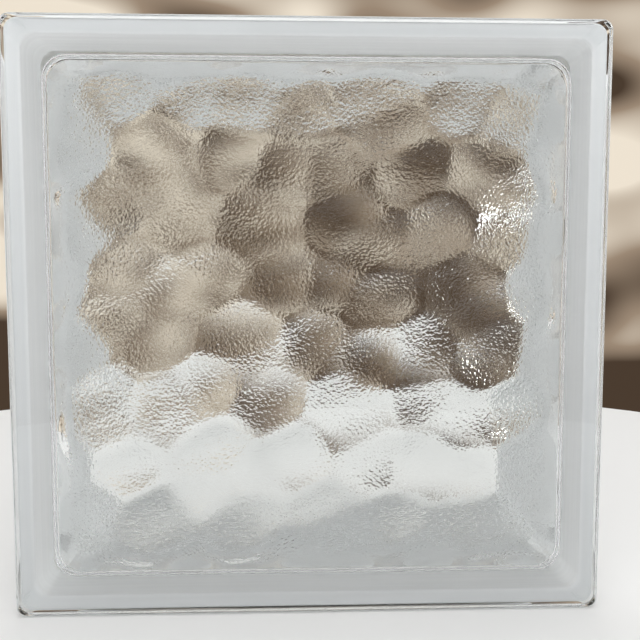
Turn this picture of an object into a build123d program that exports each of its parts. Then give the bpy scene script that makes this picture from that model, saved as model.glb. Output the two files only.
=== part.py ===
from build123d import *
import os
from math import cos, exp, floor, hypot, log, radians, sin

# A hollow pressed-glass block for walls and windows. Two glass dishes, pressed in one mould, are fused
# rim to rim at the middle of the block's depth, and the recessed edges are painted milky white.
# The block stands on an edge: the front face looks to -Y, Z is up, and the origin is at the middle
# of the underside. Lengths are in millimetres.

# The whole block
block_side = 190.0
block_depth = 80.0

# The rim round each face: a straight land, with a rounded outer edge
rim_corner_radius = 3.5
rim_edge_radius = 1.6
rim_land = 6.5

# The mortar channel round the edges: a sloping flank, then a floor that tapers to the fused seam
channel_depth = 4.5
flank_run = 4.0
channel_corner_radius = 5.0
channel_fillet = 1.2
seam_taper = 0.5
seam_corner_radius = 5.0

# The tapered lip that the fused joint leaves in the middle of the channel floor
seam_bead_height = 1.2
seam_bead_foot = 2.2
seam_bead_crown = 1.0

# The hollow between the two faces: a border inside the rim's outline, and the draft of its walls
border_at_face = 10.6
hollow_draft = 1.5
hollow_corner_radius = 8.0
hollow_floor_bevel = 1.6

# The wavy pane inside the hollow, sunk a little below the bevelled floor
face_thickness = 8.5
pane_margin = 2.8
pane_corner_radius = 5.5
wave_step = 3.0
wave_tolerance = 0.25
pane_step = 1.0

# The waves: domes of glass that swell into the hollow, side by side in slanting, uneven rows
dome_length = 33.0
dome_width = 26.0
dome_slant = 25.0
dome_curve = 3.9
dome_crease = 0.2
dome_scatter = 0.3
dome_unevenness = 0.08
dome_reach = 2

# The white coat painted on the channel
coat_thickness = 0.4
coat_margin = 0.6

os.makedirs("parts", exist_ok=True)

half_depth = block_depth / 2
rim_half = block_side / 2
channel_half = rim_half - channel_depth
seam_half = channel_half - seam_taper
land_level = half_depth - rim_land
flank_length = hypot(flank_run, channel_depth)
hollow_half = rim_half - border_at_face
pane_half = hollow_half - pane_margin
pane_level = half_depth - face_thickness
hollow_floor_level = pane_level - pane_step


def square_at(level, half_side, corner_radius):
    """A rounded square across the block, level millimetres in front of its middle."""
    side = 2 * half_side
    return Plane.XZ.offset(level) * Pos(0, block_side / 2) * RectangleRounded(side, side, corner_radius)


def between(front_square, back_square):
    """The straight-sided solid between two squares across the block."""
    return loft([front_square, back_square], ruled=True)


def edges_at(solid, level, half_side):
    """The edges that run round a solid at one level and one distance from the block's centre."""
    def is_there(edge):
        middle = edge.center()
        reach = max(abs(middle.X), abs(middle.Z - block_side / 2))
        return abs(middle.Y + level) < 0.01 and reach > half_side - rim_corner_radius
    return solid.edges().filter_by(is_there)


def half_outline(skin=0.0):
    """The outside of the front half, with the channel's surfaces raised by the thickness of a skin."""
    flank_top = land_level - skin * flank_length / channel_depth
    floor_half = channel_half + skin
    floor_level = flank_top - flank_run * (channel_depth - skin) / channel_depth
    rim_square = square_at(flank_top, rim_half, rim_corner_radius)
    floor_square = square_at(floor_level, floor_half, channel_corner_radius)
    rim = between(square_at(half_depth, rim_half, rim_corner_radius), rim_square)
    flank = between(rim_square, floor_square)
    wall = between(floor_square, square_at(0, seam_half + skin, seam_corner_radius))
    body = rim + flank + wall
    body = fillet(edges_at(body, floor_level, floor_half), channel_fillet - skin)
    body = fillet(edges_at(body, half_depth, rim_half), rim_edge_radius)
    bead_half = seam_half + seam_bead_height + skin
    crown_square = square_at(seam_bead_crown + skin, bead_half, seam_corner_radius)
    foot_square = square_at(seam_bead_foot + skin, seam_half, seam_corner_radius)
    crown = between(crown_square, square_at(0, bead_half, seam_corner_radius))
    return body + crown + between(foot_square, crown_square)


def swell(across, up):
    """How far the glass swells into the hollow at a place on the pane, by the domes nearest to it.

    The sines only scatter the domes' centres and heights, so that no two are alike.
    """
    slant = radians(dome_slant)
    along_row = (across * cos(slant) + up * sin(slant)) / dome_length
    over_rows = (up * cos(slant) - across * sin(slant)) / dome_width
    total = 0.0
    for row in range(floor(over_rows) - dome_reach, floor(over_rows) + dome_reach + 2):
        for column in range(floor(along_row) - dome_reach, floor(along_row) + dome_reach + 2):
            centre_along = column + 0.5 * (row % 2) + dome_scatter * sin(3.1 * row + 5.3 * column + 1)
            centre_over = row + dome_scatter * sin(4.7 * row - 2.9 * column + 2)
            rise = dome_unevenness * sin(2.3 * row + 1.9 * column + 3)
            distance = hypot(along_row - centre_along, over_rows - centre_over)
            total += exp((rise - distance * distance) / dome_crease)
    return dome_curve * dome_crease * log(total)


def wave_surface():
    """The waves as one smooth surface, a step wider than the pane all round."""
    steps = 2 * round(pane_half / wave_step) + 2
    rows = []
    for row in range(steps + 1):
        up = (row - steps / 2) * wave_step
        points = []
        for column in range(steps + 1):
            across = (column - steps / 2) * wave_step
            level = pane_level - swell(across, up)
            points.append((across, -level, up + block_side / 2))
        rows.append(points)
    return Face.make_surface_from_array_of_points(rows, tol=wave_tolerance, min_deg=3, max_deg=3)


def hollow():
    """The space inside the front half: a dish with leaning walls, and the wavy pane sunk in its floor."""
    floor_square = square_at(hollow_floor_level, hollow_half, hollow_corner_radius)
    dish = extrude(floor_square, amount=-hollow_floor_level, taper=-hollow_draft)
    dish = chamfer(edges_at(dish, hollow_floor_level, hollow_half), hollow_floor_bevel)
    pane_outline = extrude(square_at(half_depth, pane_half, pane_corner_radius), -half_depth)
    over_waves = extrude(wave_surface(), amount=half_depth / 2, dir=(0, 1, 0))
    return dish + (over_waves & pane_outline)


def edge_coat():
    """The white coat: a thin skin over both flanks and the channel floor, clear of the glass rims."""
    coated = extrude(square_at(half_depth, rim_half - coat_margin, rim_corner_radius), -half_depth)
    half = (half_outline(coat_thickness) - half_outline()) & coated
    return half + half.rotate(Axis.Z, 180)


front_shell = half_outline() - hollow()
back_shell = front_shell.rotate(Axis.Z, 180)
edge_coating = edge_coat()

export_step(front_shell, "parts/front_shell.step")
export_step(back_shell, "parts/back_shell.step")
export_step(edge_coating, "parts/edge_coating.step")
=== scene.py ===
import math

import bpy
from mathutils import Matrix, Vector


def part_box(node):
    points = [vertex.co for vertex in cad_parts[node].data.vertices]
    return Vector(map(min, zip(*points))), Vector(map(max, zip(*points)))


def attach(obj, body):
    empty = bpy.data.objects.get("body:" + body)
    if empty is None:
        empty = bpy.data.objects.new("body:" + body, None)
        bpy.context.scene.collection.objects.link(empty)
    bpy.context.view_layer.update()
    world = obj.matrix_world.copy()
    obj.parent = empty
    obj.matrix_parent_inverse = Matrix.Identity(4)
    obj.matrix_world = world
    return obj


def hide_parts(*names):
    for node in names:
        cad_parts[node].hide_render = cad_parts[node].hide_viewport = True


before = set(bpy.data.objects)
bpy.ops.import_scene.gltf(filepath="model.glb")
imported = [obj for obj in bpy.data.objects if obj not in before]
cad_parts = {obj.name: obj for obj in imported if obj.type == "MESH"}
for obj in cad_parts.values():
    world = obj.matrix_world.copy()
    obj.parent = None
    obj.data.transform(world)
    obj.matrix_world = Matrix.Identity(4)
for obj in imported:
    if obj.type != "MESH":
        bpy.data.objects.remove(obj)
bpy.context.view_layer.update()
bpy.ops.object.select_all(action="DESELECT")

# Front shell: one half of the block, pressed in a mould from clear soda-lime glass.
# A plunger shapes its hollow side and stamps the swollen, creased waves into the inside of the face.
# The outside of the face is fire-polished flat, and all its edges are rounded.

shell_low, shell_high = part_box("front_shell")
rim_half = (shell_high[0] - shell_low[0]) / 2
half_depth = shell_high[1] - shell_low[1]
middle_height = (shell_low[2] + shell_high[2]) / 2

# The wavy pane: domes of glass that swell into the hollow, in slanting rows, with smaller domes over them
pane_half = rim_half - 0.0125
pane_corner = 0.007
pane_level = half_depth - 0.0085
pane_squares = 180
smallest_reach = 0.001
dome_length = 0.033
dome_width = 0.026
dome_slant = math.radians(25)
dome_curve = 0.0039
dome_crease = 0.2
dome_scatter = 0.3
dome_unevenness = 0.08
dome_reach = 2
small_dome_share = 0.62
small_dome_curve = 0.0056
small_dome_crease = 0.13
small_dome_shift = (0.011, -0.007)
pane_edge_fade = 0.006
pane_edge_step = 0.0016

# The hollow round it, from the ledge at the pane's edge to the walls' mouth at the joint
ledge_level = pane_level - 0.001
ledge_rounding = 0.0001
hollow_half = rim_half - 0.0106
hollow_corner = 0.008
hollow_fillet = 0.0018
mouth_half = hollow_half + 0.0008
mouth_corner = 0.0088
joint_gap = 0.00001

# The outside, which the coat covers from the seam bead to the flank and bites into a little
rim_corner = 0.0035
rim_rounding = 0.0016
land_level = half_depth - 0.0065
land_rounding = 0.0005
face_ring_inset = 0.001
channel_corner = 0.005
channel_half = rim_half - 0.0045
channel_fillet = 0.0012
flank_foot_level = land_level - 0.004
seam_corner = 0.005
seam_half = channel_half - 0.0005
bead_height = 0.0012
bead_foot = 0.0022
bead_crown = 0.001
bead_rounding = 0.0003
coat_end_half = rim_half - 0.0006
coat_bite = 0.00008
coat_bite_margin = 0.0003


def swell(across, up, size, curve, crease):
    """How far the glass swells into the hollow at a place on the pane, by the domes nearest to it.

    The sines only scatter the domes' centres and heights, so that no two are alike. A size under 1
    gives smaller domes of the same outline.
    """
    along_row = (across * math.cos(dome_slant) + up * math.sin(dome_slant)) / (dome_length * size)
    over_rows = (up * math.cos(dome_slant) - across * math.sin(dome_slant)) / (dome_width * size)
    total = 0.0
    for row in range(math.floor(over_rows) - dome_reach, math.floor(over_rows) + dome_reach + 2):
        for column in range(math.floor(along_row) - dome_reach, math.floor(along_row) + dome_reach + 2):
            centre_along = column + 0.5 * (row % 2) + dome_scatter * math.sin(3.1 * row + 5.3 * column + 1)
            centre_over = row + dome_scatter * math.sin(4.7 * row - 2.9 * column + 2)
            rise = dome_unevenness * math.sin(2.3 * row + 1.9 * column + 3)
            distance = math.hypot(along_row - centre_along, over_rows - centre_over)
            total += math.exp((rise - distance * distance) / crease)
    return curve * crease * math.log(total)


def pane_relief(across, up):
    """The level of the waves at a place on the pane.

    In the last millimetres before the pane's edge they run out to one level, a step below the ledge.
    """
    shift_x, shift_z = small_dome_shift
    small = swell(across + shift_x, up + shift_z, small_dome_share, small_dome_curve, small_dome_crease)
    waves = pane_level - swell(across, up, 1, dome_curve, dome_crease) - small
    inside = min(1, (pane_half - max(abs(across), abs(up))) / pane_edge_fade)
    fade = inside * inside * (3 - 2 * inside)
    edge = ledge_level + pane_edge_step
    return edge + (waves - edge) * fade


def on_rounded_square(square_x, square_z, half_side, corner):
    """Where a point on the edge of the square from -1 to 1 comes to lie on a rounded square."""
    x = square_x * half_side
    z = square_z * half_side
    core = half_side - corner
    core_x = max(-core, min(core, x))
    core_z = max(-core, min(core, z))
    reach = math.hypot(x - core_x, z - core_z)
    if reach == 0:
        return x, z
    return core_x + (x - core_x) * corner / reach, core_z + (z - core_z) * corner / reach


def rounding(centre_half, centre_level, radius, first_angle, last_angle, steps):
    """Points of an arc in the section, as (half side, level). Angle 0 points outwards, 90 to the face."""
    points = []
    for step in range(steps + 1):
        angle = math.radians(first_angle + (last_angle - first_angle) * step / steps)
        points.append((centre_half + radius * math.cos(angle), centre_level + radius * math.sin(angle)))
    return points


def inner_section():
    """Rings from the pane's edge up over the ledge, round the floor's fillet and down the wall to the joint.

    Each ring is a rounded square, as (half side, corner radius, level).
    """
    rings = []
    edge = pane_half + ledge_rounding
    for half_side, level in rounding(edge, ledge_level + ledge_rounding, ledge_rounding, 180, 270, steps=4):
        rings.append((half_side, pane_corner + half_side - pane_half, level))
    start = hollow_half - hollow_fillet
    for half_side, level in rounding(start, ledge_level - hollow_fillet, hollow_fillet, 90, 0, steps=6):
        rings.append((half_side, hollow_corner + half_side - hollow_half, level))
    rings.append((mouth_half, mouth_corner, joint_gap))
    return rings


def flank_corner(half_side):
    """The corner radius on the flank, which shrinks from the channel's corners to the rim's."""
    risen = (half_side - channel_half) / (rim_half - channel_half)
    return channel_corner + (rim_corner - channel_corner) * min(1, risen)


def outer_section():
    """Rings from the joint's outside over the seam bead, the channel, the flank and the land to the face."""
    bead_half = seam_half + bead_height + coat_bite
    bead_top = bead_crown - bead_rounding
    rings = [(bead_half, seam_corner, joint_gap)]
    for half_side, level in rounding(bead_half - bead_rounding, bead_top, bead_rounding, 0, 60, steps=3):
        rings.append((half_side, seam_corner, level + coat_bite))
    rings.append((seam_half + coat_bite, seam_corner, bead_foot + coat_bite))

    lean = math.degrees(math.atan2(land_level - flank_foot_level, rim_half - channel_half))
    turn = 90 - lean
    half_turn = math.radians(turn / 2)
    foot = channel_half + channel_fillet
    foot_level = flank_foot_level - channel_fillet * math.tan(half_turn)
    for half_side, level in rounding(foot, foot_level, channel_fillet, 180, 180 - turn, steps=5):
        rings.append((half_side + coat_bite, flank_corner(half_side), level))
    for half_side in (coat_end_half - coat_bite_margin, coat_end_half):
        level = land_level - (rim_half - half_side) / math.tan(math.radians(turn))
        rings.append((half_side, flank_corner(half_side), level))

    land = rim_half - land_rounding
    round_level = land_level + land_rounding * math.tan(half_turn)
    for half_side, level in rounding(land, round_level, land_rounding, -turn, 0, steps=4):
        rings.append((half_side, flank_corner(half_side), level))
    rim = rim_half - rim_rounding
    for half_side, level in rounding(rim, half_depth - rim_rounding, rim_rounding, 0, 90, steps=7):
        rings.append((half_side, rim_corner + half_side - rim_half, level))
    rings.append((rim - face_ring_inset, rim_corner - rim_rounding, half_depth))
    return rings


# The pane starts as a flat grid, whose vertices are laid on nested rounded squares and then on the waves.
# The middle vertex lies at no distance from the centre, and takes the smallest reach in place of it.
bpy.ops.mesh.primitive_grid_add(x_subdivisions=pane_squares, y_subdivisions=pane_squares, size=2)
front_glass = bpy.context.object
front_glass.name = "front_glass"
mesh = front_glass.data
squares = [0.0] * (3 * len(mesh.vertices))
mesh.vertices.foreach_get("co", squares)
mesh.attributes.new("square", "FLOAT_VECTOR", "POINT")
mesh.attributes["square"].data.foreach_set("vector", squares)
for vertex in mesh.vertices:
    square_x, square_z = vertex.co.x, vertex.co.y
    reach = max(abs(square_x), abs(square_z), smallest_reach)
    x, z = on_rounded_square(square_x / reach, square_z / reach, pane_half * reach, pane_corner * reach)
    vertex.co = (x, -pane_relief(x, z), z + middle_height)

# The grid's border is drawn out ring by ring, over the hollow and round the outside, and the face closes it.
bpy.ops.object.mode_set(mode="EDIT")
bpy.ops.mesh.select_mode(type="EDGE")
bpy.ops.mesh.select_all(action="SELECT")
bpy.ops.mesh.region_to_loop()
for half_side, corner, level in inner_section() + outer_section():
    bpy.ops.mesh.extrude_edges_move()
    bpy.ops.object.mode_set(mode="OBJECT")
    places = mesh.attributes["square"].data
    for vertex in mesh.vertices:
        if vertex.select:
            square_x, square_z, _ = places[vertex.index].vector
            x, z = on_rounded_square(square_x, square_z, half_side, corner)
            vertex.co = (x, -level, z + middle_height)
    bpy.ops.object.mode_set(mode="EDIT")
bpy.ops.mesh.edge_face_add()
bpy.ops.mesh.select_all(action="SELECT")
bpy.ops.mesh.normals_make_consistent(inside=False)
bpy.ops.object.mode_set(mode="OBJECT")
mesh.attributes.remove(mesh.attributes["square"])
bpy.ops.object.shade_smooth()

# The finish: fine stipple on the inside of the pane, and a cloudy plane where the halves melted together
glass_colour = (0.975, 0.988, 0.985, 1)
refractive_index = 1.5
glass_shadow = (0.96, 0.965, 0.965, 1)
stipple_grains_per_metre = 1050.0
stipple_height = 0.00026
stipple_margin = 0.001
face_skin = 0.002
face_skin_end = 0.003
melted_start = 10 * joint_gap
melted_full = 5 * joint_gap
melted_roughness = 0.7


def add_node(tree, kind, inputs, **settings):
    """A shader node, with each of its inputs set to a value or linked to another node's output."""
    node = tree.nodes.new(kind)
    for name, setting in settings.items():
        setattr(node, name, setting)
    for name, source in inputs.items():
        if isinstance(source, bpy.types.NodeSocket):
            tree.links.new(source, node.inputs[name])
        else:
            node.inputs[name].default_value = source
    return node


def calculated(tree, operation, *values):
    """What one operation of arithmetic makes of its values."""
    return add_node(tree, "ShaderNodeMath", dict(enumerate(values)), operation=operation).outputs[0]


def faded(tree, value, first, last, low=0.0, high=1.0, curve="LINEAR"):
    """A value made low at first, high at last, and even between them."""
    inputs = {"Value": value, "From Min": first, "From Max": last, "To Min": low, "To Max": high}
    return add_node(tree, "ShaderNodeMapRange", inputs, interpolation_type=curve).outputs["Result"]


def new_material(name):
    """A material with an empty node tree."""
    material = bpy.data.materials.new(name)
    material.use_nodes = True
    material.node_tree.nodes.clear()
    return material


def pressed_glass():
    """Clear glass, finely stippled on the inside of the pane and cloudy at the melted joint."""
    material = new_material("pressed_glass")
    tree = material.node_tree
    place = add_node(tree, "ShaderNodeTexCoord", {}).outputs["Object"]
    middle = (0, 0, middle_height)
    centred = add_node(tree, "ShaderNodeVectorMath", {0: place, 1: middle}, operation="SUBTRACT")
    reach = add_node(tree, "ShaderNodeVectorMath", {0: centred.outputs[0]}, operation="ABSOLUTE")
    axes = add_node(tree, "ShaderNodeSeparateXYZ", {0: reach.outputs[0]}).outputs
    inner_side = faded(tree, axes["Y"], half_depth - face_skin, half_depth - face_skin_end)
    from_centre = calculated(tree, "MAXIMUM", axes["X"], axes["Z"])
    stipple_start = pane_half - stipple_margin
    stipple_full = pane_half - pane_edge_fade
    on_pane = faded(tree, from_centre, stipple_start, stipple_full, curve="SMOOTHSTEP")
    pane_mask = calculated(tree, "MULTIPLY", inner_side, on_pane)
    grain = {"Vector": place, "Scale": stipple_grains_per_metre, "Detail": 1.0}
    stipple = add_node(tree, "ShaderNodeTexNoise", grain)
    relief = calculated(tree, "MULTIPLY", stipple.outputs["Fac"], pane_mask)
    bump = add_node(tree, "ShaderNodeBump", {"Distance": stipple_height, "Height": relief})
    glass = add_node(tree, "ShaderNodeBsdfPrincipled", {
        "Base Color": glass_colour,
        "Roughness": faded(tree, axes["Y"], melted_start, melted_full, high=melted_roughness),
        "IOR": refractive_index,
        "Normal": bump.outputs["Normal"],
        "Transmission Weight": 1.0,
    })
    clear = add_node(tree, "ShaderNodeBsdfTransparent", {"Color": glass_shadow})
    shadow_ray = add_node(tree, "ShaderNodeLightPath", {}).outputs["Is Shadow Ray"]
    either = {"Fac": shadow_ray, 1: glass.outputs[0], 2: clear.outputs[0]}
    mix = add_node(tree, "ShaderNodeMixShader", either)
    add_node(tree, "ShaderNodeOutputMaterial", {"Surface": mix.outputs[0]})
    return material


mesh.materials.append(pressed_glass())
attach(front_glass, "root")
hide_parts("front_shell")

# Back shell: a second pressing from the same mould, turned round and fused to the first while hot.
# Its flat face looks backwards, so that the two stamped sides face each other across the hollow.

back_glass = bpy.data.objects.new("back_glass", front_glass.data.copy())
bpy.context.scene.collection.objects.link(back_glass)
for vertex in back_glass.data.vertices:
    vertex.co = (-vertex.co.x, -vertex.co.y, vertex.co.z)
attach(back_glass, "root")
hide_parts("back_shell")

# Edge coating: milky white paint brushed on the recessed edges, which keeps the mortar off the bare glass.
# It follows the channel from flank to flank, and stops short of the rims.

# Painted shade and light: the flanks get a greyer white and the floor a brighter white, though both are the
# same paint.
flank_white_painted_shade = (0.73, 0.745, 0.755, 1)
floor_white_painted_light = (0.87, 0.875, 0.88, 1)
seam_white = (0.86, 0.865, 0.865, 1)
flank_fade = 0.001
seam_fade = 0.002
seam_white_level = 0.004
paint_roughness = 0.55
light_spread = 0.001
brush_marks_per_metre = (14, 420, 14)
mark_darkest = 0.97
mark_lightest = 1.02
mark_height = 0.00015
mark_strength = 0.25


def milky_paint():
    """Matte translucent paint with brush marks along the channel. Its flanks are painted greyer as painted
    shade and its floor whiter as painted light, though both are the same paint.
    """
    material = new_material("milky_paint")
    tree = material.node_tree
    place = add_node(tree, "ShaderNodeTexCoord", {}).outputs["Object"]
    brushed = add_node(tree, "ShaderNodeMapping", {"Vector": place, "Scale": brush_marks_per_metre})
    strokes = {"Vector": brushed.outputs["Vector"], "Scale": 1.0, "Detail": 3.0}
    bristles = add_node(tree, "ShaderNodeTexNoise", strokes).outputs["Fac"]
    axes = add_node(tree, "ShaderNodeSeparateXYZ", {0: place}).outputs
    depth = calculated(tree, "ABSOLUTE", axes["Y"])
    # Painted light on the floor and painted shade on the flanks: this mask gives the floor the brighter
    # white.
    painted_light_on_floor = faded(tree, depth, flank_foot_level + flank_fade, flank_foot_level - flank_fade)
    coat_colours = {"Factor": painted_light_on_floor, "A": flank_white_painted_shade, "B": floor_white_painted_light}
    coat = add_node(tree, "ShaderNodeMix", coat_colours, data_type="RGBA").outputs["Result"]
    to_seam = faded(tree, depth, flank_foot_level - seam_fade, seam_white_level, curve="SMOOTHSTEP")
    seam_colours = {"Factor": to_seam, "A": coat, "B": seam_white}
    whites = add_node(tree, "ShaderNodeMix", seam_colours, data_type="RGBA").outputs["Result"]
    marks = faded(tree, bristles, 0.35, 0.65, low=mark_darkest, high=mark_lightest)
    streaked = add_node(tree, "ShaderNodeVectorMath", {0: whites, "Scale": marks}, operation="SCALE")
    relief = {"Distance": mark_height, "Strength": mark_strength, "Height": bristles}
    bump = add_node(tree, "ShaderNodeBump", relief)
    paint = add_node(tree, "ShaderNodeBsdfPrincipled", {
        "Base Color": streaked.outputs[0],
        "Roughness": paint_roughness,
        "Subsurface Weight": 1.0,
        "Subsurface Radius": (1.0, 1.0, 1.0),
        "Subsurface Scale": light_spread,
        "Normal": bump.outputs["Normal"],
    })
    add_node(tree, "ShaderNodeOutputMaterial", {"Surface": paint.outputs[0]})
    return material


edge_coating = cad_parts["edge_coating"]
edge_coating.data.materials.clear()
edge_coating.data.materials.append(milky_paint())

# The setting, which isn't part of the block: a round pale table top, a blurred brown and cream backdrop,
# soft lamps, and the camera.

table_radius = 0.38
table_colour = (0.84, 0.84, 0.83, 1)
table_roughness = 0.6


def table_finish():
    """Plain, matte and almost white."""
    material = new_material("pale_table")
    tree = material.node_tree
    look = {"Base Color": table_colour, "Roughness": table_roughness}
    top = add_node(tree, "ShaderNodeBsdfPrincipled", look)
    add_node(tree, "ShaderNodeOutputMaterial", {"Surface": top.outputs[0]})
    return material


bpy.ops.object.select_all(action="DESELECT")
bpy.ops.mesh.primitive_circle_add(vertices=128, radius=table_radius, fill_type="NGON", location=(0, 0, 0))
table = bpy.context.object
table.name = "table"
table.data.materials.append(table_finish())

# The backdrop's tone runs from 0 for brown to 1 for cream, in soft patches that change with the direction
patches = 4.0
patch_stretch = (1.0, 1.0, 1.9)
patch_contrast = 6.0
patch_tone = -2.6
tone_upwards = 0.9
tone_sideways = -0.8
tone_behind_camera = -1.4
tone_of_side_walls = 2.4
backdrop_brown = (0.07, 0.046, 0.03, 1)
backdrop_tan = (0.33, 0.25, 0.18, 1)
backdrop_cream = (0.86, 0.77, 0.64, 1)
soft_light = 0.42


def backdrop(tree):
    """The colour seen in each direction from the block."""
    direction = add_node(tree, "ShaderNodeTexCoord", {}).outputs["Generated"]
    axes = add_node(tree, "ShaderNodeSeparateXYZ", {0: direction}).outputs
    aside = calculated(tree, "ABSOLUTE", axes["X"])
    stretched = add_node(tree, "ShaderNodeMapping", {"Vector": direction, "Scale": patch_stretch})
    blur = {"Vector": stretched.outputs["Vector"], "Scale": patches, "Detail": 1.0}
    clouds = add_node(tree, "ShaderNodeTexNoise", blur)
    tone = calculated(tree, "MULTIPLY_ADD", clouds.outputs["Fac"], patch_contrast, patch_tone)
    tone = calculated(tree, "MULTIPLY_ADD", axes["Z"], tone_upwards, tone)
    tone = calculated(tree, "MULTIPLY_ADD", aside, tone_sideways, tone)
    tone = calculated(tree, "ADD", tone, faded(tree, axes["Y"], 0.3, -0.3, high=tone_behind_camera))
    tone = calculated(tree, "ADD", tone, faded(tree, aside, 0.55, 0.8, high=tone_of_side_walls))
    ramp = add_node(tree, "ShaderNodeValToRGB", {"Fac": tone})
    stops = ramp.color_ramp.elements
    stops[0].color = backdrop_brown
    stops[1].color = backdrop_cream
    stops.new(0.5).color = backdrop_tan
    return ramp.outputs["Color"]


def seen_directly(tree):
    """1 for a ray from the camera, a mirror or clear glass that hasn't met a matte surface, and else 0."""
    path = add_node(tree, "ShaderNodeLightPath", {}).outputs
    glossy = calculated(tree, "MAXIMUM", path["Is Camera Ray"], path["Is Glossy Ray"])
    through = calculated(tree, "MAXIMUM", glossy, path["Is Transmission Ray"])
    direct = calculated(tree, "LESS_THAN", path["Diffuse Depth"], 0.5)
    return calculated(tree, "MULTIPLY", through, direct)


scene = bpy.context.scene
scene.world = bpy.data.worlds.new("room")
scene.world.use_nodes = True
room = scene.world.node_tree
room.nodes.clear()
seen = add_node(room, "ShaderNodeBackground", {"Color": backdrop(room)})
soft = add_node(room, "ShaderNodeBackground", {"Color": (1, 1, 1, 1), "Strength": soft_light})
either = {"Fac": seen_directly(room), 1: soft.outputs[0], 2: seen.outputs[0]}
lit_room = add_node(room, "ShaderNodeMixShader", either)
add_node(room, "ShaderNodeOutputWorld", {"Surface": lit_room.outputs[0]})

# Square lamps, all turned to the middle of the block, as (name, place, side, watts).
# Only the far window shows through the glass, as a pale streak.
for name, place, side, watts in (
    ("window_light", (-0.8, -0.55, 0.02), 0.5, 2.4),
    ("ceiling_light", (0.1, 0.05, 1.1), 0.9, 4.0),
    ("low_light", (0.66, -0.6, 0.0), 0.4, 2.5),
    ("bounce_light", (0.0, -0.85, -0.25), 0.6, 8.0),
    ("table_light", (0.0, -0.3, 0.6), 0.4, 1.7),
    ("back_light", (0.0, 1.1, 0.35), 0.8, 5.0),
    ("far_window", (0.68, 1.0, 0.1), 0.1, 0.5),
):
    bpy.ops.object.light_add(type="AREA", location=place)
    lamp = bpy.context.object
    lamp.name = name
    lamp.data.size = side
    lamp.data.energy = watts
    lamp.visible_camera = False
    lamp.visible_glossy = False
    lamp.visible_transmission = name == "far_window"
    aim = (-place[0], -place[1], middle_height - place[2])
    tilt = math.atan2(math.hypot(aim[0], aim[1]), -aim[2])
    heading = math.atan2(-aim[0], aim[1])
    lamp.rotation_euler = (tilt, 0, heading)

camera_place = (-0.0051, -0.2701, 0.1136)
camera_pitch = -4.368
camera_yaw = 2.026
camera_lens = 41.06
bpy.ops.object.camera_add(
    location=camera_place,
    rotation=(math.radians(90 + camera_pitch), 0, math.radians(-camera_yaw)),
)
camera = bpy.context.object
camera.data.sensor_width = 36
camera.data.lens = camera_lens
camera.data.clip_start = 0.01
scene.camera = camera
scene.view_settings.view_transform = "Standard"
scene.cycles.max_bounces = 16
scene.cycles.transmission_bounces = 16
scene.cycles.transparent_max_bounces = 12
